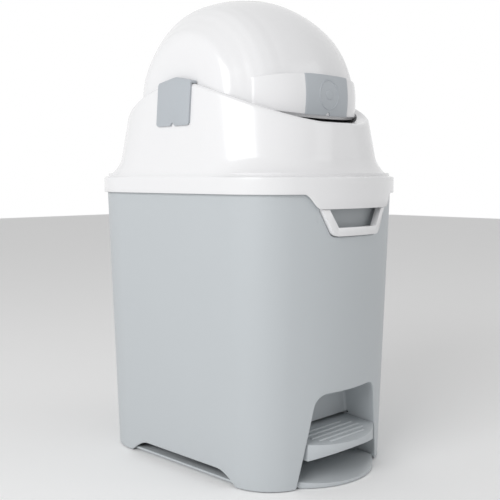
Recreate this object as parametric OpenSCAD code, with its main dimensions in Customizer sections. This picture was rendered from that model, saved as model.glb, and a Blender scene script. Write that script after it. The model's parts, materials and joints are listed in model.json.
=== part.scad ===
// Pedal nappy bin: a tapered bucket with a foot pedal, a hinged collar, and a drum that
// turns half a turn to tip what is laid in it down into the bucket.
// Origin on the floor under the drum's axle. +Z up, the pedal and handle face -Y.

/* [Skirt and plan] */
// Half the width of the skirt, the widest part of the bin
plan_half_w = 139; // [120:1:160]
// Half the depth of the skirt
plan_half_d = 189; // [165:1:215]
// Radius of the gently bowed front
front_arc_r = 216; // [200:1:300]
// Radius of the front corners
front_corner_r = 80; // [60:1:88]
// Radius of the rear corners
rear_corner_r = 85; // [60:1:100]
// Height of the skirt's lower edge above the floor
skirt_z = 349; // [320:1:380]
// Height of the skirt band
skirt_h = 20; // [14:1:30]
// Wall of the collar
collar_wall = 3; // [2:0.5:4]
// How far the skirt dips over the front grip
skirt_dip = 17; // [10:1:24]
// Reach of the dip's bottom past each side of the grip
dip_side = 2; // [1:0.5:6]
// Sideways run of the dip's curved shoulders
dip_shoulder = 21; // [12:1:30]

/* [Neck] */
// How far the neck's foot lies in from the skirt's side
neck_step_w = 6; // [3:0.5:10]
// How far the neck's foot lies in from the skirt's front and rear
neck_step_d = 24; // [16:1:30]
// Corner radius of the neck at its foot
neck_r = 109; // [95:1:120]
// Height of the hollow curve between skirt and neck
flare_h = 23; // [16:1:30]
// Height of the rim over the drum's axle
rim_top_z = 487; // [480:1:500]
// Height of the rim at front and rear
rim_low_z = 434; // [425:1:440]
// Thickness of the ledge around the drum
ledge_t = 3; // [2:0.5:5]

/* [Drum] */
// Height of the drum's axle above the floor
axle_z = 465; // [455:1:475]
// Radius of the drum at its middle
drum_r = 132; // [120:1:136]
// Distance from the skirt's side in to the drum's end
drum_side_room = 21.2; // [21:0.2:27]
// How far past the drum's end the dome's curve would close
dome_reach = 21.2; // [14:0.2:32]
// Power of the dome's curve
dome_power = 2.3; // [2:0.1:3]
// Wall of the drum
drum_wall = 3; // [2:0.5:4]
// How far the drum's edge lies below its axle, in degrees
drum_edge_deg = 11; // [6:0.5:11]
// Gap between the drum and the ledge
drum_gap = 1.5; // [1:0.25:3]
// Radius of the stub axles
stub_r = 8; // [6:0.5:9]

/* [Handle] */
// How far the handle band stands out from the drum at its middle
band_proud = 6.5; // [4:0.5:9]
// How far past the drum's end the band's curve would close
band_reach = 7.2; // [2:0.2:14]
// Distance from the drum's end in to the end of the band
band_end_room = 22.8; // [20:0.2:34]
// Power of the band's curve
band_power = 2.8; // [2.2:0.1:3.2]
// Lower edge of the band, in degrees below the axle
band_low_deg = 9.3; // [6:0.1:10]
// Upper edge of the band, in degrees above the axle
band_high_deg = 11.3; // [8:0.1:16]
// Half the width of the insert
insert_half_w = 39.5; // [30:0.5:50]
// Thickness of the insert
insert_t = 3; // [2:0.5:4]
// Radius of the raised ring on the insert
emblem_r = 18.4; // [12:0.2:20]
// Height of the raised ring and dot
emblem_h = 0.9; // [0.5:0.1:1.5]

/* [Caps] */
// Width of the side caps
cap_w = 60; // [44:1:70]
// Height of a side cap's lower edge above the floor
cap_z = 431; // [420:1:440]
// Thickness of the side caps
cap_t = 2.8; // [2:0.2:4]
// How far each cap reaches in over the rim
cap_reach = 7; // [4:0.5:7]

/* [Bucket] */
// Wall of the bucket
bucket_wall = 3; // [2:0.5:4]
// Height of the bucket's rim above the floor
bucket_top_z = 360; // [355:1:364]
// Inset of the bucket from the skirt at its rim
bucket_inset_top = 4.2; // [3.6:0.1:6]
// Inset of the bucket from the skirt at the floor
bucket_inset_low = 16.5; // [10:0.5:24]
// Height of the raised floor's upper face
floor_z = 75; // [70:1:90]
// Thickness of the raised floor
floor_t = 3; // [2:0.5:4]
// Height of the arches in the sides
arch_h = 17; // [8:1:24]
// Depth of the arches' flat and ends together
arch_l = 202; // [120:1:220]
// Run of each curved end of the arches
arch_run = 35; // [15:1:50]

/* [Pedal recess] */
// Half the width of the recess at the floor
recess_half_w = 77.6; // [70:0.2:84]
// Lean of the recess's sides, in degrees
recess_lean = 11.5; // [0:0.5:14]
// Height of the recess
recess_h = 112; // [100:1:125]
// Radius of the recess's upper corners
recess_r = 18; // [8:1:30]
// Distance of the recess's back wall in front of the axle
recess_back = 118; // [112:1:124]
// Wall of the recess and of the hand pocket
pocket_wall = 2.5; // [2:0.5:4]

/* [Pedal] */
// Half the width of the pedal
pedal_half_w = 64; // [50:0.5:64]
// Radius of the pedal's bowed front edge
pedal_front_r = 95.6; // [80:0.2:140]
// Distance of the pedal's front edge in front of the axle
pedal_front = 187; // [180:0.5:188]
// Height of the pedal's upper face at the back
pedal_top_z = 57; // [52:0.5:59]
// Slope of the pedal's upper face, in degrees
pedal_slope = 4.3; // [0:0.1:8]
// Depth of the pedal's front lip at its middle
pedal_lip = 8; // [5:0.5:12]
// How much deeper the lip is at its ends
pedal_lip_arch = 10; // [4:0.5:14]
// Wall of the pedal
pedal_wall = 3.5; // [2.5:0.5:5]
// Number of grip ridges on the pedal
ridge_n = 5; // [3:1:7]
// Height of the pedal's pivot above the floor
pivot_z = 45; // [40:0.5:48]
// Distance of the pedal's pivot in front of the drum's axle
pivot_front = 105; // [100:1:110]
// Radius of the pedal's steel axle
pedal_axle_r = 3; // [2:0.5:4]
// Radius of the pedal's hub
hub_r = 7; // [6:0.5:8]

/* [Base] */
// Height of the base tray's upper face
tray_top = 6; // [5:0.5:8]
// Thickness of the base tray
tray_t = 3; // [2:0.5:4]
// Height of the toe ledge in the recess
toe_h = 9; // [7:0.5:12]
// Radius of the foot pads
pad_r = 10; // [7:0.5:14]

/* [Grip] */
// Half the width of the grip at its top
grip_half_w = 60; // [52:0.5:61]
// Half the width of the grip at its foot
grip_foot_half_w = 42; // [34:0.5:48]
// Height of the grip below the skirt's dip
grip_drop = 32; // [26:0.5:38]
// Width of the grip's bar
grip_bar = 10; // [7:0.5:13]
// Depth of the grip and its apron
grip_t = 6; // [4:0.5:8]
// Depth of the hand pocket behind the grip's outer face
grip_pocket = 22; // [16:1:30]

/* [Drive] */
// Gear module
gear_m = 1.5; // [1.4:0.1:1.5]
// Teeth of the drum's pinion
pinion_n = 14; // [14:2:16]
// Teeth of the idler's large wheel
wheel_n = 28; // [28:2:30]
// Teeth of the idler's small wheel
small_n = 20; // [18:2:22]
// Play between meshing teeth
gear_play = 0.3; // [0.2:0.05:0.4]
// Face width of each gear
gear_w = 2.1; // [1.6:0.1:2.1]
// Radius of the idler's pin
idler_pin_r = 3; // [2:0.5:4]
// Thickness of the pushrod, across the bin
rod_t = 6; // [4:0.5:7]
// Width of the pushrod, along the bin
rod_w = 10; // [8:0.5:12]

/* [Rear hinge] */
// Radius of the hinge's knuckles
knuckle_r = 5; // [4:0.5:5]
// Radius of the hinge pins
hinge_pin_r = 2; // [1.5:0.25:2.5]
// Width of the hinge's moving knuckles
knuckle_w = 6.5; // [5:0.5:9]
// Distance of each hinge from the middle
hinge_x = 40; // [30:1:44]

/* [Fits] */
// Gap between pieces that slide past each other
slide_gap = 0.5; // [0.4:0.05:0.7]
// Gap between faces that rest on each other
seat_gap = 0.3; // [0.2:0.05:0.4]
// Radial clearance of a pin in its bore
pin_fit = 0.05; // [0.02:0.01:0.08]

/* [Hidden] */
$fn = 64;
far = 400;
// Sizes that follow those above
neck_half_w = plan_half_w - neck_step_w;
neck_half_d = plan_half_d - neck_step_d;
drum_half_l = plan_half_w - drum_side_room;
dome_close = drum_half_l + dome_reach;
band_r = drum_r + band_proud;
band_close = drum_half_l + band_reach;
band_half = drum_half_l - band_end_room;
dip_half_w = grip_half_w + dip_side;
// Points per arc of the plan outlines: bowed front, corners
FRONT_STEPS = 6;
CORNER_STEPS = 12;

// Plan outline of the skirt and bucket, made of tangent arcs that stay parallel when inset
front_cx = plan_half_w - front_corner_r;
front_cy = -sqrt(pow(front_arc_r - front_corner_r, 2) - pow(front_cx, 2)) + front_arc_r - plan_half_d;
bow_cy = front_arc_r - plan_half_d;
bow_deg = atan2(front_cx, bow_cy - front_cy);
rear_cx = plan_half_w - rear_corner_r;
rear_cy = plan_half_d - rear_corner_r;

function arc(cx, cy, r, a0, a1, n) =
    [for (i = [0 : n]) let (a = a0 + (a1 - a0) * i / n) [cx + r * cos(a), cy + r * sin(a)]];

function plan(inset) = concat(
    arc(0, bow_cy, front_arc_r - inset, -90, -90 + bow_deg, FRONT_STEPS),
    arc(front_cx, front_cy, front_corner_r - inset, -90 + bow_deg, 0, CORNER_STEPS),
    arc(rear_cx, rear_cy, rear_corner_r - inset, 0, 90, CORNER_STEPS),
    arc(-rear_cx, rear_cy, rear_corner_r - inset, 90, 180, CORNER_STEPS),
    arc(-front_cx, front_cy, front_corner_r - inset, 180, 270 - bow_deg, CORNER_STEPS),
    arc(0, bow_cy, front_arc_r - inset, 270 - bow_deg, 270, FRONT_STEPS)
);

// Plan outline of the neck, a rounded oblong with as many points as plan()
function oblong(hw, hd, r) = concat(
    arc(hw - r, r - hd, r, -90, -90 + bow_deg, FRONT_STEPS),
    arc(hw - r, r - hd, r, -90 + bow_deg, 0, CORNER_STEPS),
    arc(hw - r, hd - r, r, 0, 90, CORNER_STEPS),
    arc(r - hw, hd - r, r, 90, 180, CORNER_STEPS),
    arc(r - hw, r - hd, r, 180, 270 - bow_deg, CORNER_STEPS),
    arc(r - hw, r - hd, r, 270 - bow_deg, 270, FRONT_STEPS)
);

function mix(a, b, t) = [for (i = [0 : len(a) - 1]) a[i] * (1 - t) + b[i] * t];

// A solid through a stack of outlines that have equal numbers of points
module loft(outlines, heights) {
    n = len(outlines[0]);
    layers = len(outlines);
    points = [for (j = [0 : layers - 1]) for (p = outlines[j]) [p[0], p[1], heights[j]]];
    sides = [for (j = [0 : layers - 2]) for (i = [0 : n - 1]) for (half = [0, 1])
        let (a = j * n + i, b = j * n + (i + 1) % n)
        half == 0 ? [a, a + n, b] : [b, a + n, b + n]];
    foot = [[for (i = [0 : n - 1]) i]];
    top = [[for (i = [n - 1 : -1 : 0]) (layers - 1) * n + i]];
    polyhedron(points = points, faces = concat(foot, sides, top), convexity = 6);
}

// Turns a flat outline drawn in Y and Z into a bar along X, and one drawn in X and Z along Y
module along_x(x0, x1) {
    translate([x0, 0, 0])
        rotate([90, 0, 90])
            linear_extrude(x1 - x0)
                children();
}

module along_y(y0, y1) {
    translate([0, y1, 0])
        rotate([90, 0, 0])
            linear_extrude(y1 - y0)
                children();
}

// A block between two corners
module block(low, high) {
    translate(low)
        cube(high - low);
}

// A round bar along X
module rod_x(x0, x1, r, y, z) {
    translate([x0, y, z])
        rotate([0, 90, 0])
            cylinder(r = r, h = x1 - x0);
}

// Neck and skirt heights
skirt_top = skirt_z + skirt_h;
neck_z = skirt_top + flare_h;
neck_lean_w = 3.5 / 48;
neck_lean_d = 7 / 48;
neck_lean_r = 4 / 48;
function neck(z, inset) = oblong(
    neck_half_w - (z - neck_z) * neck_lean_w - inset,
    neck_half_d - (z - neck_z) * neck_lean_d - inset,
    neck_r + (z - neck_z) * neck_lean_r - inset
);
function neck_side(z) = neck_half_w - (z - neck_z) * neck_lean_w;

// Rim of the collar: a saddle that is high over the axle and low at front and rear
rim_half_d = neck_half_d - 7;
function rim_z(y) = let (t = min(1, abs(y) / rim_half_d))
    rim_low_z + (rim_top_z - rim_low_z) * (1 - t + cos(90 * t)) / 2;

// Dome and band: radius about the axle at a distance along it
function dome(x) = drum_r * sqrt(1 - pow(abs(x) / dome_close, dome_power));
function band(x) = band_r * sqrt(1 - pow(abs(x) / band_close, band_power));
DOME_STEPS = 24;

// A ring or solid of revolution about the drum's axle, drawn with the distance along the axle
// as Y and the radius as X. It starts at an angle above the front and turns over the top.
module revolve_x(from_deg, sweep) {
    translate([0, 0, axle_z])
        rotate([from_deg == undef ? 0 : -from_deg, 0, 0])
            rotate([0, 90, 0])
                rotate([0, 0, sweep == undef ? 0 : -90 - sweep])
                    rotate_extrude(angle = sweep == undef ? 360 : sweep, $fn = 128)
                        children();
}

// The dome's edge line from the middle to its rounded end, as radius and distance along the axle
END_STEPS = 5;
end_x = drum_half_l - 6;
end_r = dome(end_x);
end_slope = (dome(end_x - 0.5) - dome(end_x + 0.5));
end_flat_r = end_r - 24;
function end_round(t) = [
    end_r * pow(1 - t, 2) + 2 * (end_r - 6 * end_slope) * t * (1 - t) + end_flat_r * t * t,
    end_x * pow(1 - t, 2) + 2 * drum_half_l * t * (1 - t) + drum_half_l * t * t
];
function half_dome(grow, grow_x, hub = 0) = concat(
    [for (i = [0 : DOME_STEPS]) let (x = end_x * i / DOME_STEPS)
        [dome(x) + grow, x + grow_x * i / DOME_STEPS]],
    [for (i = [1 : END_STEPS]) let (p = end_round(i / END_STEPS)) [p[0] + grow, p[1] + grow_x]],
    [[hub, drum_half_l + grow_x]]
);
function backwards(line) = [for (i = [len(line) - 1 : -1 : 0]) line[i]];
function both_ways(half) = concat([for (i = [len(half) - 1 : -1 : 1]) [half[i][0], -half[i][1]]], half);

// Gear outlines
PRESSURE = 20;
ADDENDUM = 0.8;
DEDENDUM = 1.05;
FLANK_STEPS = 4;
function inv(a) = tan(a) * 180 / PI - a;
function flank(n, r) = let (rp = gear_m * n / 2, rb = rp * cos(PRESSURE))
    90 / n - gear_play / 2 / rp * 90 / PI + inv(PRESSURE) - inv(acos(min(1, rb / max(r, rb))));
function gear_points(n) = let (
    rp = gear_m * n / 2,
    low = rp - DEDENDUM * gear_m,
    high = rp + ADDENDUM * gear_m
) [for (k = [0 : n - 1]) for (side = [-1, 1]) for (i = [0 : FLANK_STEPS])
    let (
        t = side < 0 ? i / FLANK_STEPS : 1 - i / FLANK_STEPS,
        r = low + (high - low) * t,
        a = 360 * k / n + side * flank(n, r)
    ) [r * cos(a), r * sin(a)]];

// Drive layout. The idler hangs straight below the drum's axle, the rack runs behind it.
pinion_pitch = gear_m * pinion_n / 2;
wheel_pitch = gear_m * wheel_n / 2;
small_pitch = gear_m * small_n / 2;
idler_z = axle_z - pinion_pitch - wheel_pitch;
gear_x = drum_half_l + 1.2;
small_x = gear_x + gear_w + 0.5;
rack_travel = PI / 2 * small_pitch * pinion_n * 2 / wheel_n;
rack_pitch = PI * gear_m;
rack_t = 8;
rod_y = small_pitch + gear_m + rack_t / 2;
rod_x1 = drum_half_l + 0.2;
rod_x0 = rod_x1 - rod_t;
rod_top = skirt_z + 1;
tip_r = 5;
arm_run = pivot_front + rod_y;
press_deg = 2 * asin(rack_travel / 2 / arm_run);
arm_rest_deg = press_deg / 2;
tip_z = pivot_z - arm_run * tan(arm_rest_deg);
rod_foot = tip_z + tip_r + seat_gap;

// Bucket
function bucket_inset(z) = bucket_inset_low + (bucket_inset_top - bucket_inset_low) * z / bucket_top_z;
floor_under = floor_z - floor_t;
bucket_z = 0.8;

// Rear hinge axis
hinge_y = plan_half_d - knuckle_r;
hinge_z = skirt_z - 1.5;
lug_w = 5;

// Bag ring
ring_z = bucket_top_z + seat_gap;
ring_t = 3.3;
ring_inset = collar_wall + slide_gap + 0.4;
ring_w = 8.5;

// ---------- Bucket ----------

module bucket_outer(z0, z1, extra = 0) {
    loft([plan(bucket_inset(z0) + extra), plan(bucket_inset(z1) + extra)], [z0, z1]);
}

// Half outline of the recess: leaning jambs, round upper corners, drawn in X and Z
function recess_half(grow) = let (
    r = recess_r + grow,
    nx = cos(recess_lean),
    nz = sin(recess_lean),
    reach = recess_half_w * nx + grow,
    cz = recess_h - recess_r,
    cx = (reach - r - cz * nz) / nx
) concat([[(reach + 10 * nz) / nx, -10]], arc(cx, cz, r, recess_lean, 90, 8));
function mirrored(half) = concat(half, [for (i = [len(half) - 1 : -1 : 0]) [-half[i][0], half[i][1]]]);

// Half outline of the grip: round lower corners, drawn in X and Z
grip_top_z = skirt_z - skirt_dip;
grip_low_z = grip_top_z - grip_drop;
grip_corner = grip_bar + 2;
grip_lean = atan2(grip_half_w - grip_foot_half_w, grip_drop);
function grip_half(grow, top) = let (
    r = grip_corner + grow,
    cz = grip_low_z + grip_corner,
    cx = grip_half_w - (grip_top_z - cz) * tan(grip_lean) - grip_corner / cos(grip_lean)
) concat(
    [[grip_half_w + grow, top], [grip_half_w + grow, grip_top_z]],
    arc(cx, cz, r, -grip_lean, -90, 6)
);

module arch_cut() {
    steps = 8;
    half = arch_l / 2;
    ends = [for (i = [0 : steps]) [-half + arch_run * i / steps, arch_h * sin(90 * i / steps)]];
    back = [for (i = [steps : -1 : 0]) [half - arch_run * i / steps, arch_h * sin(90 * i / steps)]];
    along_x(-far, far)
        polygon(concat([[-half, -1]], ends, back, [[half, -1]]));
}

lug_gap = 0.3;
moving_w = 2 * knuckle_w + 3 * lug_gap;
pocket_y = -plan_half_d + grip_pocket;

// Everything inside the bucket's wall between two heights
module bucket_hollow(z0, z1) {
    bucket_outer(z0, z1, bucket_wall);
}

// Space of the pedal recess, and lower down the space that the pedal's root moves in
module recess_space(grow) {
    along_y(-far, grow - recess_back)
        polygon(mirrored(recess_half(grow)));
    intersection() {
        along_y(-far, -pivot_front)
            polygon(mirrored(recess_half(grow)));
        block([-far, -far, -1], [far, far, pedal_top_z + 3]);
    }
}

module pushrod_passage() {
    block([rod_x0 - slide_gap, rod_y - rod_w / 2 - slide_gap, floor_under - 1],
          [rod_x1 + slide_gap, rod_y + rod_w / 2 + slide_gap, floor_z + 1]);
}

module bucket() {
    color("lightgray") difference() {
        union() {
            difference() {
                bucket_outer(bucket_z, bucket_top_z);
                bucket_hollow(bucket_z - 1, bucket_top_z + 1);
            }
            for (s = [-1, 1]) for (e = [0, 1])
                hinge_lug(s * hinge_x + (e == 0 ? -moving_w / 2 - lug_w : moving_w / 2));
        }
        along_y(-far, -recess_back)
            polygon(mirrored(recess_half(0)));
        along_y(-far, pocket_y)
            polygon(mirrored(grip_half(0.8, bucket_top_z + 1)));
        arch_cut();
        // Room for the moving knuckles of the rear hinges
        for (s = [-1, 1])
            block([s * hinge_x - moving_w / 2, hinge_y - 7, hinge_z - 6],
                  [s * hinge_x + moving_w / 2, far, bucket_top_z + 1]);
        for (s = [-1, 1])
            rod_x(s * hinge_x - moving_w / 2 - lug_w + 1, s * hinge_x + moving_w / 2 + lug_w - 1,
                  hinge_pin_r + pin_fit, hinge_y, hinge_z);
    }
}

// Raised floor with the bosses that the base is screwed to
module bucket_floor() {
    color("lightgray") difference() {
        union() {
            bucket_hollow(floor_under, floor_z);
            for (x = [-1, 1]) for (y = [-1, 1])
                translate([x * screw_x, y > 0 ? screw_rear : -screw_front, tray_top])
                    cylinder(r = 5, h = floor_under - tray_top + 1);
        }
        recess_space(pocket_wall);
        pushrod_passage();
        for (x = [-1, 1]) for (y = [-1, 1])
            translate([x * screw_x, y > 0 ? screw_rear : -screw_front, 0])
                cylinder(r = screw_r, h = 25);
    }
}

// Walls of the recess that the pedal works in
module pedal_recess() {
    color("lightgray") difference() {
        intersection() {
            bucket_hollow(bucket_z, bucket_top_z);
            along_y(-far, pocket_wall - recess_back)
                polygon(mirrored(recess_half(pocket_wall)));
        }
        recess_space(0);
        arch_cut();
        // Room for the base tray
        linear_extrude(2 * (tray_top + seat_gap), center = true)
            polygon(plan(tray_inset - 0.7));
    }
}

// Walls of the pocket behind the front grip
module hand_pocket() {
    color("lightgray") difference() {
        intersection() {
            bucket_hollow(bucket_z, bucket_top_z);
            block([-grip_half_w - 4, -far, grip_low_z - 5],
                [grip_half_w + 4, pocket_y + pocket_wall, bucket_top_z]);
        }
        along_y(-far, pocket_y)
            polygon(mirrored(grip_half(0.8, bucket_top_z + 1)));
    }
}

module hinge_lug(x) {
    rod_x(x, x + lug_w, knuckle_r, hinge_y, hinge_z);
    block([x, hinge_y - knuckle_r, hinge_z - 10], [x + lug_w, hinge_y, hinge_z]);
}

// ---------- Base ----------

screw_x = plan_half_w - 43;
screw_rear = plan_half_d - 69;
screw_front = plan_half_d - 119;
screw_r = 2;
tray_inset = bucket_inset_low + bucket_wall + 1.5;
bracket_x = recess_half_w + 10.4;
bracket_w = 4;
pad_x = plan_half_w - 55;
pad_rear = plan_half_d - 49;
pad_front = plan_half_d - 89;
pad_sink = 1.5;

module toe_outline() {
    toe_cy = pedal_front_r - pedal_front;
    intersection() {
        translate([0, toe_cy])
            circle(r = pedal_front_r, $fn = 96);
        translate([-recess_half_w + 6, -pedal_front - 1])
            square([2 * recess_half_w - 12, pedal_front - recess_back + 12]);
    }
}

module base_tray() {
    color("gainsboro") difference() {
        union() {
            translate([0, 0, tray_top - tray_t])
                linear_extrude(tray_t)
                    polygon(plan(tray_inset));
            difference() {
                translate([0, 0, 1.2])
                    linear_extrude(toe_h - 1.2)
                        toe_outline();
                // The toe ledge falls away towards its front edge
                translate([0, -pedal_front, toe_h - 4])
                    rotate([6, 0, 0])
                        translate([-far, -far / 2, 0])
                            cube([2 * far, far, far]);
            }
            for (s = [-1, 1]) {
                block([s * bracket_x - bracket_w / 2, -pivot_front - hub_r, tray_top - 1],
                      [s * bracket_x + bracket_w / 2, -pivot_front + hub_r, pivot_z]);
                rod_x(s * bracket_x - bracket_w / 2, s * bracket_x + bracket_w / 2, hub_r, -pivot_front,
                    pivot_z);
            }
        }
        for (x = [-1, 1]) for (y = [-1, 1]) {
            translate([x * screw_x, y > 0 ? screw_rear : -screw_front, 0])
                cylinder(r = screw_r + 0.3, h = 20);
            translate([x * pad_x, y > 0 ? pad_rear : -pad_front, 0])
                cylinder(r = pad_r + pin_fit, h = tray_top - tray_t + pad_sink);
        }
        rod_x(-far, far, pedal_axle_r + pin_fit / 2, -pivot_front, pivot_z);
    }
}

module foot_pad(x, y) {
    color("dimgray")
        translate([x * pad_x, y > 0 ? pad_rear : -pad_front, 0])
            cylinder(r = pad_r, h = tray_top - tray_t + pad_sink);
}

module base_screw(x, y) {
    color("silver")
        translate([x * screw_x, y > 0 ? screw_rear : -screw_front, tray_top - tray_t - 2]) {
            cylinder(r = 2 * screw_r, h = 2);
            cylinder(r = screw_r - 0.02, h = 16);
        }
}

// ---------- Pedal and pushrod ----------

module pedal_plan(inset) {
    intersection() {
        translate([0, pedal_front_r - pedal_front])
            circle(r = pedal_front_r - inset, $fn = 96);
        translate([-pedal_half_w + inset, -pedal_front])
            square([2 * (pedal_half_w - inset), pedal_front - pivot_front - hub_r + 3 - inset]);
    }
}

// Everything above the pedal's sloping face, lowered by a depth
module above_pedal(depth) {
    translate([0, -recess_back, pedal_top_z - depth])
        rotate([pedal_slope, 0, 0])
            translate([-far, -far, 0])
                cube([2 * far, 2 * far, far]);
}

pedal_axle_half = bracket_x + bracket_w / 2 + 3;

module pedal_axle() {
    color("silver")
        rod_x(-pedal_axle_half, pedal_axle_half, pedal_axle_r, -pivot_front, pivot_z);
}

hub_half = bracket_x - bracket_w / 2 - slide_gap;
arm_x = hub_half - 7;
arm_w = 6;
arm_h = 8;
lip_r = (pow(pedal_half_w, 2) + pow(pedal_lip_arch, 2)) / 2 / pedal_lip_arch;
rib_run = 30;
ridge_span = 46;
ridge_y = -152;
ridge_half_w = 46;

module pedal() {
    lip_z = pedal_top_z - (pedal_front - recess_back) * tan(pedal_slope) - pedal_lip;
    color("lightgray") difference() {
        union() {
            difference() {
                translate([0, 0, pivot_z - 20])
                    linear_extrude(far)
                        pedal_plan(0);
                above_pedal(0);
                difference() {
                    translate([0, 0, -1])
                        linear_extrude(far)
                            pedal_plan(pedal_wall);
                    above_pedal(pedal_wall);
                }
                translate([0, 0, lip_z - lip_r])
                    rotate([90, 0, 0])
                        cylinder(r = lip_r, h = far, $fn = 128);
            }
            rod_x(-hub_half, hub_half, hub_r, -pivot_front, pivot_z);
            for (x = [-pedal_half_w + 4, 0, pedal_half_w - 4])
                block([x - 2, -pivot_front - rib_run, pivot_z - 2], [x + 2, -pivot_front, pivot_z + 6]);
            pedal_ridges();
            // Arm that runs back to the pushrod
            translate([arm_x, -pivot_front, pivot_z])
                rotate([-arm_rest_deg, 0, 0])
                    translate([-arm_w / 2, 0, -arm_h / 2])
                        cube([arm_w, arm_run / cos(arm_rest_deg), arm_h]);
            rod_x(arm_x - arm_w / 2, rod_x1, tip_r, rod_y, tip_z);
        }
        rod_x(-far, far, pedal_axle_r + pin_fit, -pivot_front, pivot_z);
    }
}

module pedal_ridges() {
    for (i = [0 : ridge_n - 1]) {
        dy = ridge_span * ((i + 0.5) / ridge_n - 0.5);
        half = ridge_half_w * sqrt(1 - pow(2 * dy / (ridge_span + 6), 2));
        y = ridge_y + dy;
        z = pedal_top_z + (y + recess_back) * tan(pedal_slope);
        difference() {
            rod_x(-half, half, 2.2, y, z - 0.9);
            block([-far, y - 5, -far], [far, y + 5, z - 2]);
        }
    }
}

module pushrod() {
    color("silver")
        block([rod_x0, rod_y - rod_w / 2, rod_foot], [rod_x1, rod_y + rod_w / 2, rod_top]);
}

duct_wall = 2;
duct_top = rod_top - rack_travel / 2;

module pushrod_duct() {
    g = slide_gap;
    low = [rod_x0 - g, rod_y - rod_w / 2 - g, floor_z];
    high = [rod_x1 + g, rod_y + rod_w / 2 + g, duct_top];
    wall = [duct_wall, duct_wall, 0];
    color("whitesmoke") difference() {
        union() {
            block(low - wall, high + wall);
            // Tab that ties the duct's head to the bucket's side
            block([high[0], rod_y - 4, duct_top - 12],
                  [plan_half_w - bucket_inset(duct_top - 12) - bucket_wall - 0.3, rod_y + 4, duct_top]);
        }
        block([low[0], low[1], 0], [high[0], high[1], far * 2]);
    }
}

// ---------- Rear hinge and bag ring ----------

module hinge_pin(s) {
    color("silver")
        rod_x(s * hinge_x - moving_w / 2 - lug_w + 1.2, s * hinge_x + moving_w / 2 + lug_w - 1.2,
              hinge_pin_r, hinge_y, hinge_z);
}

// A moving knuckle with a web that rises from it; x is its low side
module knuckle(x, web_top, web_y0, web_y1) {
    difference() {
        union() {
            rod_x(x, x + knuckle_w, knuckle_r - 0.3, hinge_y, hinge_z);
            block([x, web_y0, hinge_z], [x + knuckle_w, web_y1, web_top]);
        }
        rod_x(x - 1, x + knuckle_w + 1, hinge_pin_r + pin_fit, hinge_y, hinge_z);
    }
}

module plan_ring(inset, w, z0, z1) {
    difference() {
        loft([plan(inset), plan(inset)], [z0, z1]);
        loft([plan(inset + w), plan(inset + w)], [z0 - 1, z1 + 1]);
    }
}

module bag_ring() {
    hook_inset = bucket_inset_top + bucket_wall + 1.2;
    color("whitesmoke") {
        plan_ring(ring_inset, ring_w, ring_z, ring_z + ring_t);
        // Skirt of the ring that holds the bag inside the bucket's sides
        difference() {
            plan_ring(hook_inset, 2.2, ring_z - 14, ring_z + 1);
            block([-far, hinge_y - 79, 0], [far, far, far]);
            block([-grip_half_w - 8, -far, 0], [grip_half_w + 8, 0, far]);
        }
        for (s = [-1, 1])
            knuckle(s * hinge_x + lug_gap / 2, ring_z + 1, hinge_y - 3.5, hinge_y + 0.5);
    }
}

grip_outer_r = front_arc_r - 2;

module grip_shell(r, z0, z1) {
    translate([0, bow_cy, z0])
        difference() {
            cylinder(r = r, h = z1 - z0, $fn = 128);
            translate([0, 0, -1])
                cylinder(r = front_arc_r - 4.5 - grip_t, h = z1 - z0 + 2, $fn = 128);
        }
}

module bag_ring_grip() {
    color("white") difference() {
        intersection() {
            union() {
                grip_shell(grip_outer_r, grip_low_z - 1, grip_top_z - 0.7);
                grip_shell(front_arc_r - collar_wall - 0.8, grip_top_z - 1, ring_z);
            }
            along_y(-far, pocket_y + 60)
                polygon(mirrored(grip_half(0, ring_z)));
        }
        along_y(-far, far)
            polygon(mirrored(grip_half(-grip_bar, grip_top_z + 8)));
    }
}

// ---------- Collar ----------

module neck_stack(inset) {
    flare_steps = 6;
    base = plan(inset);
    foot = neck(neck_z, inset);
    flare = [for (i = [0 : flare_steps]) let (a = 90 * i / flare_steps)
        mix(base, foot, 0.35 * (1 - cos(a)) + 0.65 * sin(a))];
    heights = [for (i = [0 : flare_steps]) skirt_top + flare_h * (1 - cos(90 * i / flare_steps))];
    high = rim_top_z + 10;
    loft(concat([base, base], [for (i = [1 : flare_steps]) flare[i]], [neck(high, inset)]),
         concat([skirt_z - (inset > 0 ? 1 : 0), skirt_top - inset * 0.6],
                [for (i = [1 : flare_steps]) heights[i] - inset * 0.6 * cos(90 * i / flare_steps)], [high]));
}

dish_start = drum_r - 28;
dish_run = 26;

// Flat outline, in Y and Z, of everything under the rim less a depth
module under_rim(depth, dish) {
    steps = 16;
    half = rim_half_d + 10;
    low = rim_low_z - depth - dish;
    polygon(concat([[-far, 0], [-far, low]],
        [for (i = [-steps : steps]) let (y = half * i / steps)
            [y, rim_z(y) - depth - dish * max(0, min(1, (abs(y) - dish_start) / dish_run))]],
        [[far, low], [far, 0]]));
}

module dip_outline() {
    steps = 8;
    half = concat([for (i = [0 : steps]) let (t = i / steps)
        [dip_half_w + dip_shoulder * t, skirt_z - skirt_dip * (1 - t * t * (3 - 2 * t))]],
        [[dip_half_w + dip_shoulder, skirt_z + 2]]);
    polygon(concat(half, [for (i = [len(half) - 1 : -1 : 0]) [-half[i][0], half[i][1]]]));
}

bush_r = stub_r + 3;

sweep_half = band_half + 2;
sweep_low = axle_z - (band_r + emblem_h + 1) * sin(max(band_low_deg, band_high_deg)) - 0.8;

module drum_sweep() {
    revolve_x()
        polygon(both_ways(half_dome(drum_gap, 0.9)));
    // Path of the handle band over the ledge
    intersection() {
        revolve_x()
            polygon(concat([[0, -sweep_half]],
                [for (i = [-12 : 12]) let (x = sweep_half * i / 12) [band(x) + drum_gap, x]],
                    [[0, sweep_half]]));
        block([-far, -far, sweep_low], [far, far, far * 2]);
    }
}

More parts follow.
